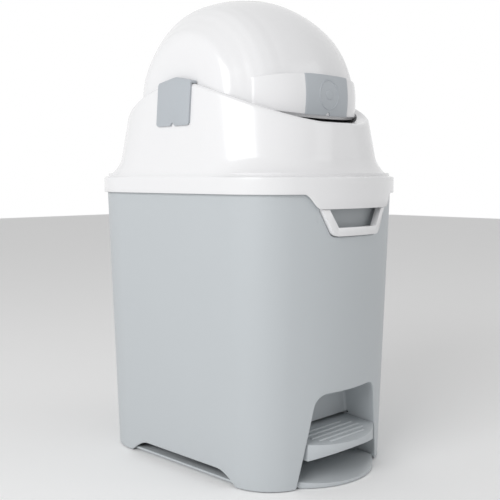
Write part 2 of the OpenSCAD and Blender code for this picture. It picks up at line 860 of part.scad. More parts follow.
module collar() {
    color("white") difference() {
        union() {
            difference() {
                neck_stack(0);
                intersection() {
                    neck_stack(collar_wall);
                    along_x(-far, far)
                        under_rim(ledge_t, 6);
                }
            }
            // Dip of the skirt over the grip
            intersection() {
                plan_ring(0, collar_wall, skirt_z - skirt_dip, skirt_z + 2);
                along_y(-far, 0)
                    dip_outline();
            }
            // Seat that rests on the bag ring
            intersection() {
                neck_stack(0);
                plan_ring(6, 2.5, ring_z + ring_t + seat_gap, skirt_top + 8);
            }
            intersection() {
                neck_stack(0);
                for (s = [-1, 1])
                    rod_x(s > 0 ? small_x + gear_w + 0.6 : -far, s > 0 ? far : -small_x - gear_w - 0.6,
                          bush_r + 4, 0, axle_z);
            }
            intersection() {
                neck_stack(0);
                rod_x(small_x + gear_w + 0.6, far, 7, 0, idler_z);
            }
        }
        // Notches in the skirt around the rear hinges
        for (s = [-1, 1])
            block([s * hinge_x - moving_w / 2 - lug_w - slide_gap, hinge_y - knuckle_r, 0],
                  [s * hinge_x + moving_w / 2 + lug_w + slide_gap, far, hinge_z + knuckle_r + slide_gap]);
        along_x(-far, far)
            difference() {
                translate([-far, rim_low_z - 20])
                    square([2 * far, far]);
                under_rim(0, 0);
            }
        drum_sweep();
        // Slots that the axle bushes drop into
        for (s = [-1, 1]) {
            rod_x(s > 0 ? drum_half_l : -far, s > 0 ? far : -drum_half_l, bush_r + pin_fit / 2, 0, axle_z);
            block([s > 0 ? drum_half_l : -far, -bush_r, axle_z],
                [s > 0 ? far : -drum_half_l, bush_r, far * 2]);
        }
        rod_x(drum_half_l, neck_side(idler_z) - 1, idler_pin_r + pin_fit / 2, 0, idler_z);
    }
    color("white")
        for (s = [-1, 1])
            knuckle(s * hinge_x - lug_gap / 2 - knuckle_w, skirt_z + 8, hinge_y, plan_half_d - 1);
}

// ---------- Caps and bushes ----------

module hinge_cap(s) {
    top = rim_top_z + 3;
    low_x = neck_side(cap_z);
    high_x = neck_side(rim_top_z);
    mid_y = -1;
    corner = 4;
    color("silver") mirror([s < 0 ? 1 : 0, 0, 0]) difference() {
        intersection() {
            along_y(-cap_w, cap_w)
                polygon([
                    [low_x + 0.15, cap_z], [low_x + cap_t, cap_z], [high_x + cap_t + 0.3, rim_top_z - 6],
                    [high_x + cap_t - 4, top], [high_x - cap_reach, top + 1], [high_x - cap_reach, rim_low_z]
                ]);
            along_x(0, far) {
                intersection() {
                    under_rim(-3.2, 0);
                    union() {
                        translate([mid_y - cap_w / 2, cap_z + corner])
                            square([cap_w, far]);
                        translate([mid_y - cap_w / 2 + corner, cap_z])
                            square([cap_w - 2 * corner, far]);
                        for (e = [-1, 1])
                            translate([mid_y + e * (cap_w / 2 - corner), cap_z + corner])
                                circle(r = corner);
                    }
                }
            }
        }
        // Room for the neck's side and rim
        intersection() {
            along_y(-far, far)
                polygon([
                    [0, 0], [neck_side(0) + 0.15, 0],
                    [neck_side(rim_top_z + 20) + 0.15, rim_top_z + 20], [0, rim_top_z + 20]
                ]);
            along_x(0, far)
                under_rim(-0.25, 0);
        }
        rod_x(0, far, 3.5, mid_y, cap_z);
    }
}

bush_x0 = small_x - 0.2;

module axle_bush(s) {
    color("gray") mirror([s < 0 ? 1 : 0, 0, 0]) difference() {
        rod_x(bush_x0, neck_side(axle_z) - 1.2, bush_r, 0, axle_z);
        rod_x(0, far, stub_r + pin_fit, 0, axle_z);
    }
}

// ---------- Drive ----------

module gear(n, x, w, turn) {
    along_x(x, x + w)
        rotate(turn)
            polygon(gear_points(n));
}

module idler_pin() {
    color("silver")
        rod_x(drum_half_l + 1.3, neck_side(idler_z) - 1.2, idler_pin_r, 0, idler_z);
}

module idler_gear() {
    color("ivory") difference() {
        translate([0, 0, idler_z]) {
            gear(wheel_n, gear_x, gear_w, 90 + 180 / wheel_n);
            rod_x(gear_x, small_x + 0.5, small_pitch - 3, 0, 0);
            gear(small_n, small_x, gear_w, 0);
        }
        rod_x(0, far, idler_pin_r + pin_fit, 0, idler_z);
    }
}

rack_back_y = small_pitch + rack_t;
rack_top = idler_z + 9;
rack_spine = 2.5;

module rack_teeth() {
    half_low = rack_pitch / 4 - gear_play / 2 + DEDENDUM * gear_m * tan(PRESSURE);
    half_high = rack_pitch / 4 - gear_play / 2 - ADDENDUM * gear_m * tan(PRESSURE);
    first = -floor((rack_travel + 10) / rack_pitch);
    last = floor(8 / rack_pitch);
    for (k = [first : last]) {
        z = idler_z + (k + 0.5) * rack_pitch;
        polygon([
            [small_pitch + DEDENDUM * gear_m + 0.1, z - half_low],
                [small_pitch - ADDENDUM * gear_m, z - half_high],
            [small_pitch - ADDENDUM * gear_m, z + half_high],
                [small_pitch + DEDENDUM * gear_m + 0.1, z + half_low]
        ]);
    }
}

rack_x1 = small_x + gear_w;
spine_x0 = gear_x + 0.9;

module rack() {
    color("ivory") {
        along_x(small_x, rack_x1) {
            translate([small_pitch + DEDENDUM * gear_m, rod_top + seat_gap])
                square([rack_back_y - small_pitch - DEDENDUM * gear_m, rack_top - rod_top - seat_gap]);
            rack_teeth();
        }
        block([spine_x0, rack_back_y - 0.01, rod_top + seat_gap],
            [rack_x1, rack_back_y + rack_spine, rack_top]);
        block([rod_x0, rod_y - rod_w / 2, rod_top + seat_gap],
            [rack_x1, rack_back_y + rack_spine, rod_top + seat_gap + 4]);
    }
}

guide_z0 = neck_z - 4;
guide_z1 = idler_z - wheel_pitch - gear_m - 2;

module rack_guide() {
    g = seat_gap + 0.05;
    y0 = rack_back_y - 2.5;
    y1 = rack_back_y + rack_spine + 3;
    x0 = gear_x - 0.9;
    x1 = neck_side(guide_z1) - collar_wall - 0.3;
    color("gainsboro") difference() {
        block([x0, y0, guide_z0], [x1, y1, guide_z1]);
        block([small_x - g, 0, 0], [rack_x1 + g, rack_back_y + 1, far * 2]);
        block([spine_x0 - g, rack_back_y - g, 0], [rack_x1 + g, rack_back_y + rack_spine + g, far * 2]);
    }
}

// ---------- Drum ----------

module drum_seal(from_deg) {
    half = 70;
    steps = 10;
    color("dimgray")
        revolve_x(from_deg, 3)
            polygon(concat(
                [for (i = [-steps : steps]) let (x = half * i / steps) [dome(x) + 0.4, x]],
                [for (i = [steps : -1 : -steps]) let (x = half * i / steps) [dome(x) + 2.6, x]]
            ));
}

drum_inner_x = drum_half_l - drum_wall;
drum_hub_r = 2 * stub_r;
flange_t = 2.5;
// The hub's faces lie a little inside those of the drum's end
hub_x = drum_inner_x - 0.4;

module drum_shell() {
    color("white") difference() {
        union() {
            revolve_x(-drum_edge_deg, 180 + 2 * drum_edge_deg)
                polygon(concat(
                    both_ways(half_dome(0, 0, stub_r + 3)),
                    backwards(both_ways(half_dome(-drum_wall, -drum_wall, stub_r + 3)))
                ));
            for (s = [-1, 1])
                rod_x(s > 0 ? hub_x : -hub_x - drum_wall, s > 0 ? hub_x + drum_wall : -hub_x,
                    drum_hub_r, 0, axle_z);
        }
        rod_x(-far, far, stub_r + pin_fit, 0, axle_z);
    }
}

// Stub axle with the flange that holds it inside the drum's end
module drum_end(s) {
    color("gainsboro") mirror([s < 0 ? 1 : 0, 0, 0]) {
        rod_x(hub_x - flange_t, hub_x, drum_hub_r, 0, axle_z);
        rod_x(hub_x - 1, neck_side(axle_z) - 1, stub_r, 0, axle_z);
    }
}

module drum_pinion() {
    color("ivory") difference() {
        translate([0, 0, axle_z])
            gear(pinion_n, gear_x, gear_w, -90);
        rod_x(0, far, stub_r + pin_fit, 0, axle_z);
    }
}

// ---------- Handle ----------

BAND_STEPS = 24;
band_sweep = band_low_deg + band_high_deg;

function band_line(half, grow) = [for (i = [-BAND_STEPS : BAND_STEPS])
    let (x = half * i / BAND_STEPS) [band(x) + grow, x]];
function back_line(half, grow) = [for (i = [BAND_STEPS : -1 : -BAND_STEPS])
    let (x = half * i / BAND_STEPS) [dome(x) + grow, x]];
function inset_line(half, grow) = [for (i = [BAND_STEPS : -1 : -BAND_STEPS])
    let (x = half * i / BAND_STEPS) [band(x) + grow, x]];

module handle_band() {
    color("white")
        difference() {
            revolve_x(-band_low_deg, band_sweep)
                polygon(concat(band_line(band_half, 0), back_line(band_half, 0.1)));
            revolve_x(-band_low_deg - 1, band_sweep + 2)
                polygon(concat(band_line(insert_half_w + 0.3, 5),
                    inset_line(insert_half_w + 0.3, -insert_t - 0.1)));
        }
}

notch_r = 4;

module handle_insert() {
    mid_deg = 1.3;
    color("darkgray") {
        difference() {
            revolve_x(-band_low_deg, band_sweep)
                polygon(concat(band_line(insert_half_w, 0.3), inset_line(insert_half_w, -insert_t)));
            translate([0, -band_r, axle_z - band_r * sin(band_low_deg)])
                rotate([90, 0, 0])
                    cylinder(r = notch_r, h = 12, center = true);
        }
        intersection() {
            revolve_x(-band_low_deg, band_sweep)
                polygon(concat(band_line(insert_half_w, 0.3 + emblem_h), inset_line(insert_half_w, -1)));
            translate([0, 0, axle_z + band_r * sin(mid_deg)])
                along_y(-far, 0) {
                    difference() {
                        circle(r = emblem_r);
                        circle(r = emblem_r - 1.6);
                    }
                    circle(r = emblem_r / 3);
                }
        }
    }
}

bucket();
bucket_floor();
pedal_recess();
hand_pocket();
base_tray();
foot_pad(-1, -1);  // foot_pad_1
foot_pad(1, -1);  // foot_pad_2
foot_pad(-1, 1);  // foot_pad_3
foot_pad(1, 1);  // foot_pad_4
base_screw(-1, -1);  // base_screw_1
base_screw(1, -1);  // base_screw_2
base_screw(-1, 1);  // base_screw_3
base_screw(1, 1);  // base_screw_4
pedal_axle();
pedal();
pushrod();
pushrod_duct();
hinge_pin(-1);  // hinge_pin_left
hinge_pin(1);  // hinge_pin_right
bag_ring();
bag_ring_grip();
collar();
hinge_cap(-1);  // hinge_cap_left
hinge_cap(1);  // hinge_cap_right
axle_bush(-1);  // axle_bush_left
axle_bush(1);  // axle_bush_right
idler_pin();
idler_gear();
rack_guide();
rack();
drum_seal(-15.4);  // drum_seal_front
drum_seal(192.4);  // drum_seal_rear
drum_shell();
drum_end(-1);  // drum_end_left
drum_end(1);  // drum_end_right
drum_pinion();
handle_band();
handle_insert();
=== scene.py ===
"""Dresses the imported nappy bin: smooth moulded shells, plastics, soft studio light and the camera."""
import json
import math

import bmesh
import bpy
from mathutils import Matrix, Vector

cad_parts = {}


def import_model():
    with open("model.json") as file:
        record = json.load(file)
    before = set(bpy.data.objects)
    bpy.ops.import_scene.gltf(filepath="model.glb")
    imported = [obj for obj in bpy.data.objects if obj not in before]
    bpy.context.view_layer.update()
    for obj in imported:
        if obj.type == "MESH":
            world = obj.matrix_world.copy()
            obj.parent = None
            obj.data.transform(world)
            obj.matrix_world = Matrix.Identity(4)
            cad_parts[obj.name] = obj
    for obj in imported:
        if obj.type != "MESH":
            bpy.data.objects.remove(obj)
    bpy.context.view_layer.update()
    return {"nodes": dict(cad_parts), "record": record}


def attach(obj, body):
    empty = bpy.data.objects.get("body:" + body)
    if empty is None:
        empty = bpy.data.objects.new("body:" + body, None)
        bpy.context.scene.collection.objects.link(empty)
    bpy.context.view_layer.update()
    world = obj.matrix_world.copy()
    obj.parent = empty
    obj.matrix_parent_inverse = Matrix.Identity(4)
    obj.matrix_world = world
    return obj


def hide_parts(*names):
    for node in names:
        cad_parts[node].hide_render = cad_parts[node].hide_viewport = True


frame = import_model()

# ---------------------------------------------------------------- real sizes, in metres

MM = 0.001
AXLE_Z = 465 * MM

# Plan of skirt and bucket: tangent arcs that stay parallel when inset
HALF_W, HALF_D = 139 * MM, 189 * MM
BOW_R, FRONT_R, REAR_R = 216 * MM, 80 * MM, 85 * MM
SKIRT_Z, SKIRT_TOP, NECK_Z = 349 * MM, 369 * MM, 392 * MM
WALL = 3 * MM
DIP_DROP, DIP_HALF_W, DIP_RUN = 17 * MM, 62 * MM, 21 * MM

# Neck: half width, half depth and corner radius at its foot, and how they change with height
NECK_W, NECK_D, NECK_R = 133 * MM, 165 * MM, 109 * MM
LEAN_W, LEAN_D, LEAN_R = 3.5 / 48, 7 / 48, 4 / 48
RIM_TOP, RIM_LOW, RIM_HALF_D = 487 * MM, 434 * MM, 158 * MM
RIM_R, REAR_REACH = 4.4 * MM, 9 * MM

# Drum and handle band: radius about the axle at a distance along it
DRUM_R, DOME_CLOSE, DOME_POWER = 132 * MM, 139 * MM, 2.3
DRUM_HALF_L, DRUM_WALL, DRUM_EDGE = 117.8 * MM, 3 * MM, math.radians(11)
DRUM_GAP = 1.5 * MM
BAND_R, BAND_CLOSE, BAND_POWER = 138.5 * MM, 125 * MM, 2.8
BAND_HALF, BAND_LOW, BAND_HIGH = 95 * MM, math.radians(9.3), math.radians(11.3)
HINGE_X, HINGE_Y, HINGE_Z = 40 * MM, 184 * MM, 347.5 * MM


# Soft ridge near each end of the dome: distance from the middle and how far it stands out
DOME_SWELL = ((0, 0), (40, -1.1), (60, -0.8), (75, 0.6), (83, 1.0), (91, -0.2), (99, -1.9), (107, -2.1),
    (112, -1.4), (140, -1.4))


def swell(x):
    x = abs(x) / MM
    for (x0, g0), (x1, g1) in zip(DOME_SWELL, DOME_SWELL[1:]):
        if x < x1:
            t = (x - x0) / (x1 - x0)
            return (g0 + (g1 - g0) * t * t * (3 - 2 * t)) * MM
    return DOME_SWELL[-1][1] * MM


def dome(x):
    return DRUM_R * math.sqrt(1 - (abs(x) / DOME_CLOSE) ** DOME_POWER) + swell(x)


def band(x):
    return BAND_R * math.sqrt(1 - (abs(x) / BAND_CLOSE) ** BAND_POWER)



# ---------------------------------------------------------------- materials


def material(name, colour, rough, coat=0.0, bump=0.02, grain=900, mottle=0.03):
    """A moulded plastic: a fine texture in the surface and a slight unevenness of tone and gloss."""
    m = bpy.data.materials.new(name)
    m.use_nodes = True
    nodes, links = m.node_tree.nodes, m.node_tree.links
    shader = nodes["Principled BSDF"]
    shader.inputs["Coat Weight"].default_value = coat
    shader.inputs["Coat Roughness"].default_value = 0.12
    place = nodes.new("ShaderNodeTexCoord")
    soft = nodes.new("ShaderNodeTexNoise")
    soft.inputs["Scale"].default_value = 9
    soft.inputs["Detail"].default_value = 3
    links.new(place.outputs["Object"], soft.inputs["Vector"])
    tone = nodes.new("ShaderNodeMix")
    tone.data_type = "RGBA"
    tone.inputs[6].default_value = (*[c * (1 - mottle) for c in colour], 1)
    tone.inputs[7].default_value = (*[min(1, c * (1 + mottle)) for c in colour], 1)
    links.new(soft.outputs["Fac"], tone.inputs[0])
    links.new(tone.outputs[2], shader.inputs["Base Color"])
    gloss = nodes.new("ShaderNodeMapRange")
    gloss.inputs["To Min"].default_value = rough * 0.85
    gloss.inputs["To Max"].default_value = rough * 1.15
    links.new(soft.outputs["Fac"], gloss.inputs["Value"])
    links.new(gloss.outputs["Result"], shader.inputs["Roughness"])
    fine = nodes.new("ShaderNodeTexNoise")
    fine.inputs["Scale"].default_value = grain
    links.new(place.outputs["Object"], fine.inputs["Vector"])
    relief = nodes.new("ShaderNodeBump")
    relief.inputs["Strength"].default_value = bump
    relief.inputs["Distance"].default_value = 0.0004
    links.new(fine.outputs["Fac"], relief.inputs["Height"])
    links.new(relief.outputs["Normal"], shader.inputs["Normal"])
    return m


def steel(name):
    m = material(name, (0.55, 0.55, 0.56), 0.28, bump=0.05, grain=400)
    m.node_tree.nodes["Principled BSDF"].inputs["Metallic"].default_value = 1
    return m


SLOT_MATERIALS = {
    "white_gloss": material("white_gloss", (0.80, 0.80, 0.81), 0.22, coat=0.25, bump=0.01, mottle=0.006),
    "white_matte": material("white_matte", (0.76, 0.76, 0.77), 0.45, mottle=0.01),
    "grey_shell": material("grey_shell", (0.50, 0.53, 0.55), 0.42, bump=0.05, mottle=0.012),
    "grey_trim": material("grey_trim", (0.43, 0.46, 0.49), 0.38, bump=0.03, mottle=0.012),
    "gear_plastic": material("gear_plastic", (0.72, 0.70, 0.62), 0.4, mottle=0.02),
    "pad_rubber": material("pad_rubber", (0.05, 0.05, 0.055), 0.7, bump=0.2, mottle=0.1),
    "seal_rubber": material("seal_rubber", (0.38, 0.39, 0.40), 0.6, bump=0.15, mottle=0.06),
    "steel": steel("steel"),
}
node_slot = {s["node"]: s["material_slot"] for s in frame["record"]["subparts"]}


def dress(obj, slot):
    obj.data.materials.clear()
    obj.data.materials.append(SLOT_MATERIALS[slot])


def round_off(obj, width, limit=32):
    """Small rounded edges and shading that stays smooth over a moulded surface."""
    for p in obj.data.polygons:
        p.use_smooth = True
    weld = obj.modifiers.new("weld", "WELD")
    weld.merge_threshold = 0.00002
    bevel = obj.modifiers.new("round", "BEVEL")
    bevel.width = width
    bevel.segments = 2
    bevel.limit_method = "ANGLE"
    bevel.angle_limit = math.radians(limit)
    bevel.harden_normals = True
    bevel.use_clamp_overlap = True


for name, obj in frame["nodes"].items():
    dress(obj, node_slot[name])

# ---------------------------------------------------------------- outlines

BOW_CY = BOW_R - HALF_D
FRONT_CX = HALF_W - FRONT_R
FRONT_CY = BOW_CY - math.sqrt((BOW_R - FRONT_R) ** 2 - FRONT_CX ** 2)
REAR_CX, REAR_CY = HALF_W - REAR_R, HALF_D - REAR_R
BOW_TURN = math.atan2(FRONT_CX, BOW_CY - FRONT_CY)

# Distances along the plan outline, from the middle of the front, at which its arcs meet
U_BOW = BOW_R * BOW_TURN
U_FRONT = U_BOW + FRONT_R * (math.pi / 2 - BOW_TURN)
U_SIDE = U_FRONT + REAR_CY - FRONT_CY
U_REAR = U_SIDE + REAR_R * math.pi / 2
U_END = U_REAR + REAR_CX


def on_plan(u, inset):
    """Point of the plan outline at a distance u from the front's middle, negative to the left."""
    side, u = (1 if u >= 0 else -1), abs(u)
    if u <= U_BOW:
        t = u / BOW_R
        x, y = (BOW_R - inset) * math.sin(t), BOW_CY - (BOW_R - inset) * math.cos(t)
    elif u <= U_FRONT:
        t = BOW_TURN + (u - U_BOW) / FRONT_R
        x, y = FRONT_CX + (FRONT_R - inset) * math.sin(t), FRONT_CY - (FRONT_R - inset) * math.cos(t)
    elif u <= U_SIDE:
        x, y = HALF_W - inset, FRONT_CY + u - U_FRONT
    elif u <= U_REAR:
        t = math.pi / 2 + (u - U_SIDE) / REAR_R
        x, y = REAR_CX + (REAR_R - inset) * math.sin(t), REAR_CY - (REAR_R - inset) * math.cos(t)
    else:
        x, y = U_END - u, HALF_D - inset
    return side * x, y


def on_neck(a, z, inset):
    """Point of the neck's outline in a direction a from the middle."""
    w = NECK_W - (z - NECK_Z) * LEAN_W - inset
    d = NECK_D - (z - NECK_Z) * LEAN_D - inset
    if math.sin(a) > 0:
        d += REAR_REACH
    r = NECK_R + (z - NECK_Z) * LEAN_R - inset
    dx, dy = abs(math.cos(a)), abs(math.sin(a))
    cx, cy = w - r, d - r
    dot = dx * cx + dy * cy
    t = dot + math.sqrt(max(0, dot * dot - cx * cx - cy * cy + r * r))
    if t * dx < cx:
        t = d / dy
    elif t * dy < cy:
        t = w / dx
    return t * math.cos(a), t * math.sin(a)


def rim_z(y):
    t = min(1, abs(y) / RIM_HALF_D)
    return RIM_LOW + (RIM_TOP - RIM_LOW) * (1 - t + math.cos(math.pi / 2 * t)) / 2


def smooth(t):
    t = max(0.0, min(1.0, t))
    return t * t * (3 - 2 * t)


def mix(a, b, t):
    return tuple(p * (1 - t) + q * t for p, q in zip(a, b))


# ---------------------------------------------------------------- meshes


def new_object(name, verts, faces, body, slot, sharp=38):
    """A mesh whose faces shade smoothly across edges flatter than the sharp angle."""
    mesh = bpy.data.meshes.new(name)
    mesh.from_pydata(verts, [], faces)
    bm = bmesh.new()
    bm.from_mesh(mesh)
    bmesh.ops.remove_doubles(bm, verts=bm.verts, dist=0.000002)
    bmesh.ops.dissolve_degenerate(bm, edges=bm.edges, dist=0.000002)
    bmesh.ops.recalc_face_normals(bm, faces=bm.faces)
    finish_mesh(bm, mesh, sharp)
    obj = bpy.data.objects.new(name, mesh)
    bpy.context.scene.collection.objects.link(obj)
    obj.data.materials.append(SLOT_MATERIALS[slot])
    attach(obj, body)
    return obj


def finish_mesh(bm, mesh, sharp):
    limit = math.radians(sharp)
    for f in bm.faces:
        f.smooth = True
    for e in bm.edges:
        e.smooth = len(e.link_faces) != 2 or e.calc_face_angle(0) < limit
    bm.to_mesh(mesh)
    bm.free()


def grid_faces(rows, cols, wrap_cols, wrap_rows, first=0):
    faces = []
    for j in range(rows if wrap_rows else rows - 1):
        k = (j + 1) % rows
        for i in range(cols if wrap_cols else cols - 1):
            l = (i + 1) % cols
            faces.append((first + j * cols + i, first + j * cols + l, first + k * cols + l,
                first + k * cols + i))
    return faces


def applied(obj, sharp=38):
    """Replaces an object's mesh by what its modifiers make of it."""
    graph = bpy.context.evaluated_depsgraph_get()
    mesh = bpy.data.meshes.new_from_object(obj.evaluated_get(graph))
    obj.modifiers.clear()
    old = obj.data
    obj.data = mesh
    bpy.data.meshes.remove(old)
    bm = bmesh.new()
    bm.from_mesh(mesh)
    finish_mesh(bm, mesh, sharp)
    return obj


def prism(outline, axis, low, high):
    """Vertices and faces of a flat outline drawn out along an axis (0 for X, 1 for Y, 2 for Z)."""
    def place(p, h):
        v = list(p)
        v.insert(axis, h)
        return tuple(v)
    n = len(outline)
    verts = [place(p, low) for p in outline] + [place(p, high) for p in outline]
    faces = [tuple(range(n)), tuple(range(2 * n - 1, n - 1, -1))]
    faces += [(i, (i + 1) % n, n + (i + 1) % n, n + i) for i in range(n)]
    return verts, faces


def cut(obj, *solids):
    """Takes closed solids, each a pair of vertices and faces, out of an object."""
    for k, (verts, faces) in enumerate(solids):
        mesh = bpy.data.meshes.new("cutter")
        mesh.from_pydata(verts, [], faces)
        bm = bmesh.new()
        bm.from_mesh(mesh)
        bmesh.ops.recalc_face_normals(bm, faces=bm.faces)
        bm.to_mesh(mesh)
        bm.free()
        tool = bpy.data.objects.new("cutter", mesh)
        bpy.context.scene.collection.objects.link(tool)
        mod = obj.modifiers.new("cut", "BOOLEAN")
        mod.operation = "DIFFERENCE"
        mod.solver = "EXACT"
        mod.object = tool
        applied(obj)
        bpy.data.objects.remove(tool)


def bevelled(obj, width, segments=2, limit=35):
    bevel = obj.modifiers.new("round", "BEVEL")
    bevel.width = width
    bevel.segments = segments
    bevel.limit_method = "ANGLE"
    bevel.angle_limit = math.radians(limit)
    bevel.harden_normals = False
    bevel.use_clamp_overlap = True
    return obj

# ---------------------------------------------------------------- collar


def drum_end_radius(x):
    """Radius of the drum at a distance along its axle, with its rounded ends."""
    x = abs(x)
    ex = DRUM_HALF_L - 6 * MM
    if x <= ex:
        return dome(x)
    if x >= DRUM_HALF_L:
        return dome(ex) - 24 * MM
    slope = (dome(ex - 0.5 * MM) - dome(ex + 0.5 * MM)) / MM
    t = (x - ex) / (DRUM_HALF_L - ex)
    t = 1 - math.sqrt(1 - t)
    er = dome(ex)
    return er * (1 - t) ** 2 + 2 * (er - 6 * MM * slope) * t * (1 - t) + (er - 24 * MM) * t * t


def in_drum_way(x, y, z):
    return abs(x) < DRUM_HALF_L + 0.9 * MM and math.hypot(y, z - AXLE_Z) < drum_end_radius(x) + DRUM_GAP


BAND_LOW_Z = 436.4 * MM


def ledge_z(x, y, level):
    """Height of the ledge, which is scooped out where the handle band passes over it."""
    reach = band(min(abs(x), BAND_CLOSE * 0.99)) + 4.5 * MM - math.hypot(y, level - AXLE_Z)
    side = BAND_HALF + 5 * MM - abs(x)
    scoop = smooth(min(reach, side) / (5 * MM))
    return level + (min(level, BAND_LOW_Z) - level) * scoop


def collar_spread():
    """Distances along the plan outline for the collar's columns, closer together at front and rear."""
    us, u = [], 0.0
    while u < U_END:
        us.append(u)
        x, y = on_plan(u, 0)
        fine = (y < -0.1 and x < 0.1) or (y > 0.15 and x < 0.06)
        u += (1.5 if fine else 3.6) * MM
    return [-v for v in reversed(us[1:])] + us + [U_END]


def collar_column(u):
    x0, y0 = on_plan(u, 0)
    a = math.atan2(y0, x0)
    foot = on_neck(a, NECK_Z, 0)
    step = math.dist(foot, (x0, y0))
    low = SKIRT_Z
    if y0 < 0:
        low -= DIP_DROP * (1 - smooth((abs(x0) - DIP_HALF_W) / DIP_RUN))
    for hx in (-HINGE_X, HINGE_X):
        if y0 > 0:
            low += 4 * MM * (1 - smooth((abs(x0 - hx) - 12.3 * MM) / (1.2 * MM)))
    col = []
    for inset, up in ((0.9, 0), (0.35, 0.12), (0.1, 0.4), (0, 0.9)):
        col.append((*on_plan(u, inset * MM), low + up * MM))
    top = SKIRT_TOP - 1.6 * MM
    for k in (0.25, 0.5, 0.75, 1):
        col.append((x0, y0, low + 0.9 * MM + (top - low - 0.9 * MM) * k))

    def flare(t, inset=0.0):
        w = 0.35 * (1 - math.cos(t)) + 0.65 * math.sin(t)
        px, py = mix(on_plan(u, inset), on_neck(a, NECK_Z, inset), w)
        return px, py, SKIRT_TOP + (NECK_Z - SKIRT_TOP) * (1 - math.cos(t)) - inset * 0.6 * math.cos(t)

    t0 = math.asin(min(0.5, 1.7 * MM / (0.65 * step)))
    corner, start = (x0, y0, SKIRT_TOP), flare(t0)
    for s in (0.2, 0.4, 0.6, 0.8, 1):
        col.append(mix(mix((x0, y0, top), corner, s), mix(corner, start, s), s))
    for k in range(1, 13):
        col.append(flare(t0 + (math.pi / 2 - t0) * k / 12))
    level = RIM_LOW
    for _ in range(12):
        level = rim_z(on_neck(a, level, 0)[1])
    for k in range(1, 11):
        z = NECK_Z + (level - RIM_R - NECK_Z) * k / 10
        col.append((*on_neck(a, z, 0), z))
    for k in range(1, 7):
        t = math.pi / 2 * k / 6
        z = level - RIM_R + RIM_R * math.sin(t)
        col.append((*on_neck(a, z, RIM_R * (1 - math.cos(t))), z))
    # Ledge, from the rim in to the gap around the drum
    out = on_neck(a, level, RIM_R)
    reach = math.hypot(*out)
    lo, t = 0.0, 0.0
    while not in_drum_way(out[0] * (1 - t), out[1] * (1 - t),
        ledge_z(out[0] * (1 - t), out[1] * (1 - t), level)):
        lo = t
        t += 0.5 * MM / reach
    for _ in range(14):
        m = (lo + t) / 2
        if in_drum_way(out[0] * (1 - m), out[1] * (1 - m),
            ledge_z(out[0] * (1 - m), out[1] * (1 - m), level)):
            t = m
        else:
            lo = m
    inner = (out[0] * (1 - lo), out[1] * (1 - lo))
    for k in range(1, 13):
        x, y = mix(out, inner, 0.97 * k / 12)
        col.append((x, y, ledge_z(x, y, level)))
    h = ledge_z(*inner, level)
    col.append((*mix(out, inner, 0.995), h - 0.15 * MM))
    col.append((*inner, h - 0.7 * MM))
    col.append((*inner, h - 3 * MM))
    wall_top = level - 5.5 * MM
    under = on_neck(a, wall_top, 3 * MM)
    for k in (0.3, 0.6, 0.9):
        x, y = mix(inner, under, k)
        col.append((x, y, min(ledge_z(x, y, level), level) - 3 * MM))
    for k in (0, 0.5, 1):
        z = wall_top + (NECK_Z - wall_top) * k
        col.append((*on_neck(a, z, WALL), z))
    for t in (70, 50, 30, 15):
        col.append(flare(math.radians(t), WALL))
    inner_low = on_plan(u, WALL)
    col.append((*inner_low, SKIRT_TOP - 2.4 * MM))
    col.append((*inner_low, low + 0.6 * MM))
    col.append((*on_plan(u, WALL - 0.6 * MM), low))
    return col


def knuckle(x, web_top, y0, y1):
    r = 4.7 * MM
    base = [(HINGE_Y + r * math.cos(math.radians(t)),
        HINGE_Z + r * math.sin(math.radians(t))) for t in range(180, 361, 10)]
    outline = base + [(y1, HINGE_Z), (y1, web_top), (y0, web_top), (y0, HINGE_Z)]
    return prism(outline, 0, x, x + 6.5 * MM)


def ring_band(inset, width, z0, z1, ease=0.5 * MM):
    """A closed band with small rounded edges that follows the plan outline."""
    us = [-U_END + 2 * U_END * i / 240 for i in range(240)]
    cols = []
    for u in us:
        loop = [(inset, z0 + ease), (inset, z1 - ease), (inset + ease, z1), (inset + width - ease, z1),
                (inset + width, z1 - ease), (inset + width, z0 + ease), (inset + width - ease,
                    z0), (inset + ease, z0)]
        cols.append([(*on_plan(u, i), z) for i, z in loop])
    rows = list(zip(*cols))
    return [p for row in rows for p in row], grid_faces(len(rows), len(us), True, True)


def make_collar():
    us = collar_spread()
    cols = [collar_column(u) for u in us[:-1]]
    rows = list(zip(*cols))
    verts = [p for row in rows for p in row]
    obj = new_object("collar_shell", verts, grid_faces(len(rows), len(cols), True, True), "top_unit",
        "white_gloss", 50)
    slots = []
    for s in (-1, 1):
        ends = sorted((s * 117 * MM, s * 140 * MM))
        u_shape = [(11 * MM * math.cos(math.radians(t)),
            AXLE_Z + 11 * MM * math.sin(math.radians(t))) for t in range(180, 361, 15)]
        slots.append(prism(u_shape + [(11 * MM, 0.6), (-11 * MM, 0.6)], 0, *ends))
    cut(obj, *slots)
    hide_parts("collar")
    new_object("collar_seat", *ring_band(6 * MM, 2.5 * MM, 364 * MM, 374 * MM), "top_unit", "white_gloss")
    for s in (-1, 1):
        v, f = knuckle(s * HINGE_X - 6.65 * MM, SKIRT_Z + 8 * MM, HINGE_Y, HALF_D - MM)
        bevelled(new_object("collar_knuckle_" + ("left" if s < 0 else "right"), v, f, "top_unit",
            "white_gloss"), 0.4 * MM)
    return obj


make_collar()

# ---------------------------------------------------------------- bucket

